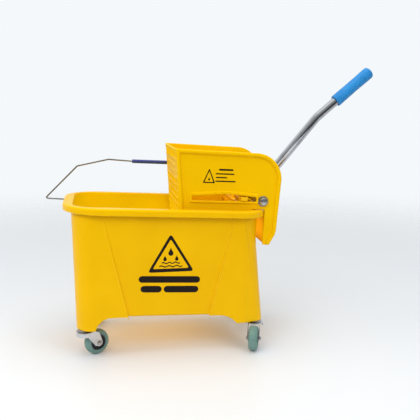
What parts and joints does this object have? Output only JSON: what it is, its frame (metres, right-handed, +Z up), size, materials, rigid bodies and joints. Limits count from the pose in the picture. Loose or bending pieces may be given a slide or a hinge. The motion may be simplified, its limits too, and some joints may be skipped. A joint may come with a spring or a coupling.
{
  "type": "mop bucket with wringer",
  "caption": "Wheeled mop bucket with a folding carrying bail and a lever wringer that hangs on the back rim and presses a mop in its basket.",
  "frame": {"origin": "on the floor, under the middle of the object's bounding box", "axes": "+X towards the lever end, +Y towards the side with the carrying bail, +Z up"},
  "size_m": [0.813, 0.2901, 0.6699],
  "materials": {
    "yellow_plastic": "moulded, satin gloss",
    "bright_steel": "chromed",
    "zinc_steel": "zinc plated",
    "black_plastic": "satin",
    "grey_rubber": "matt grey-green rubber",
    "blue_vinyl": "dipped soft vinyl, fine texture",
    "navy_plastic": "satin"
  },
  "bodies": {
    "bucket": {"bucket": "yellow_plastic", "caster_front_near_stem": "zinc_steel", "caster_front_near_sleeve": "zinc_steel", "caster_rear_near_stem": "zinc_steel", "caster_rear_near_sleeve": "zinc_steel", "caster_front_far_stem": "zinc_steel", "caster_front_far_sleeve": "zinc_steel", "caster_rear_far_stem": "zinc_steel", "caster_rear_far_sleeve": "zinc_steel"},
    "bail": {"bail_wire": "zinc_steel", "bail_grip": "navy_plastic"},
    "wringer": {"wringer_housing": "yellow_plastic", "pivot_rod": "zinc_steel", "pivot_washer_near": "zinc_steel", "pivot_washer_far": "zinc_steel", "pivot_nut_near": "zinc_steel", "pivot_nut_far": "zinc_steel"},
    "press": {"press_plate": "yellow_plastic", "guide_shoe_near": "yellow_plastic", "guide_shoe_far": "yellow_plastic"},
    "lever": {"crank_yoke": "zinc_steel", "crank_pin_near": "zinc_steel", "crank_pin_far": "zinc_steel", "handle_tube": "bright_steel", "handle_grip": "blue_vinyl", "handle_bolt": "zinc_steel"},
    "fork_front_near": {"caster_front_near_fork": "bright_steel", "caster_front_near_axle": "zinc_steel"},
    "wheel_front_near": {"caster_front_near_hub": "black_plastic", "caster_front_near_tyre": "grey_rubber"},
    "fork_rear_near": {"caster_rear_near_fork": "bright_steel", "caster_rear_near_axle": "zinc_steel"},
    "wheel_rear_near": {"caster_rear_near_hub": "black_plastic", "caster_rear_near_tyre": "grey_rubber"},
    "fork_front_far": {"caster_front_far_fork": "bright_steel", "caster_front_far_axle": "zinc_steel"},
    "wheel_front_far": {"caster_front_far_hub": "black_plastic", "caster_front_far_tyre": "grey_rubber"},
    "fork_rear_far": {"caster_rear_far_fork": "bright_steel", "caster_rear_far_axle": "zinc_steel"},
    "wheel_rear_far": {"caster_rear_far_hub": "black_plastic", "caster_rear_far_tyre": "grey_rubber"}
  },
  "joints": [
    {"name": "wringer_lift", "type": "slide", "parent": "bucket", "child": "wringer", "axis": [0.0459, 0, 0.9989], "range_m": [0, 0.15]},
    {"name": "lever_hinge", "type": "hinge", "parent": "wringer", "child": "lever", "pos_m": [0.1028, 0.0091, 0.355], "axis": [0, 1, 0], "range_deg": [0, 66]},
    {"name": "press_slide", "type": "slide", "parent": "wringer", "child": "press", "axis": [-0.9989, 0, 0.0459], "range_m": [0, 0.08]},
    {"name": "bail_hinge", "type": "hinge", "parent": "bucket", "child": "bail", "pos_m": [-0.1222, 0.1291, 0.3233], "axis": [-0.9989, 0, 0.0459], "range_deg": [0, 165]},
    {"name": "swivel_front_near", "type": "hinge", "parent": "bucket", "child": "fork_front_near", "pos_m": [-0.3122, -0.0869, 0.0625], "axis": [0, 0, 1], "continuous": true},
    {"name": "roll_front_near", "type": "hinge", "parent": "fork_front_near", "child": "wheel_front_near", "pos_m": [-0.28709, -0.0724, 0.0295], "axis": [-0.5, 0.866, 0], "continuous": true},
    {"name": "swivel_rear_near", "type": "hinge", "parent": "bucket", "child": "fork_rear_near", "pos_m": [0.0898, -0.0879, 0.0625], "axis": [0, 0, 1], "continuous": true},
    {"name": "roll_rear_near", "type": "hinge", "parent": "fork_rear_near", "child": "wheel_rear_near", "pos_m": [0.08036, -0.11532, 0.0295], "axis": [0.9455, -0.3256, 0], "continuous": true},
    {"name": "swivel_front_far", "type": "hinge", "parent": "bucket", "child": "fork_front_far", "pos_m": [-0.3122, 0.1051, 0.0625], "axis": [0, 0, 1], "continuous": true},
    {"name": "roll_front_far", "type": "hinge", "parent": "fork_front_far", "child": "wheel_front_far", "pos_m": [-0.28761, 0.12047, 0.0295], "axis": [-0.5299, 0.848, 0], "continuous": true},
    {"name": "swivel_rear_far", "type": "hinge", "parent": "bucket", "child": "fork_rear_far", "pos_m": [0.0898, 0.1061, 0.0625], "axis": [0, 0, 1], "continuous": true},
    {"name": "roll_rear_far", "type": "hinge", "parent": "fork_rear_far", "child": "wheel_rear_far", "pos_m": [0.11817, 0.11213, 0.0295], "axis": [-0.2079, 0.9781, 0], "continuous": true}
  ],
  "couplings": [
    {"joint": "press_slide", "follows": "lever_hinge", "m_per_rad": 0.069449}
  ]
}
